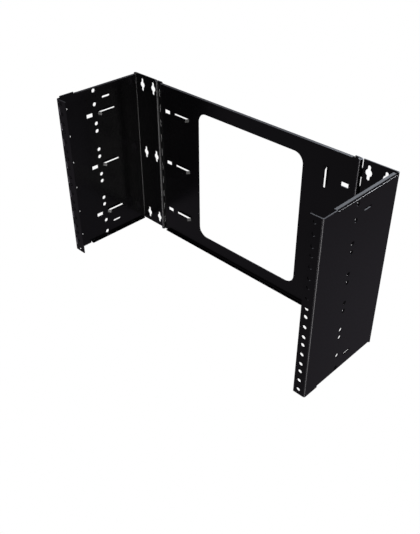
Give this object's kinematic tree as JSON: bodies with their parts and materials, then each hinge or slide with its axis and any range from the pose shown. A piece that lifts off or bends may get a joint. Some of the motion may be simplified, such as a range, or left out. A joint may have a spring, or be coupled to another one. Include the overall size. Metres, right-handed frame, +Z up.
{
  "type": "folding wall mount bracket",
  "caption": "Folding wall bracket for rack gear: a back panel with a large window and two hinged side wings with front rack flanges.",
  "frame": {"origin": "on the wall face at the centreline, level with the lower row of wall screws", "axes": "+Z up, +Y into the wall, +X to the right as seen from the front"},
  "size_m": [0.4872, 0.1524, 0.2695],
  "materials": {
    "powder_coat": "satin black powder coat",
    "pin_steel": "dark plated steel"
  },
  "bodies": {
    "back": {"back_panel": "powder_coat", "back_top_lip": "powder_coat", "back_bottom_lip": "powder_coat", "left_hinge_pin": "pin_steel", "right_hinge_pin": "pin_steel", "back_left_lower_bridge": "powder_coat", "back_left_middle_bridge": "powder_coat", "back_left_upper_bridge": "powder_coat", "back_right_lower_bridge": "powder_coat", "back_right_middle_bridge": "powder_coat", "back_right_upper_bridge": "powder_coat"},
    "left_wing": {"left_wall_strip": "powder_coat", "left_side_panel": "powder_coat", "left_rack_flange": "powder_coat", "left_top_lip": "powder_coat", "left_bottom_lip": "powder_coat", "left_side_lower_bridge": "powder_coat", "left_side_middle_bridge": "powder_coat", "left_side_upper_bridge": "powder_coat"},
    "right_wing": {"right_wall_strip": "powder_coat", "right_side_panel": "powder_coat", "right_rack_flange": "powder_coat", "right_top_lip": "powder_coat", "right_bottom_lip": "powder_coat"}
  },
  "joints": [
    {"name": "left_wing_fold", "type": "hinge", "parent": "back", "child": "left_wing", "pos_m": [-0.18895, -0.0031, 0.1181], "axis": [0, 0, 1], "range_deg": [0, 90]},
    {"name": "right_wing_fold", "type": "hinge", "parent": "back", "child": "right_wing", "pos_m": [0.18895, -0.0031, 0.1181], "axis": [0, 0, -1], "range_deg": [0, 90]}
  ]
}
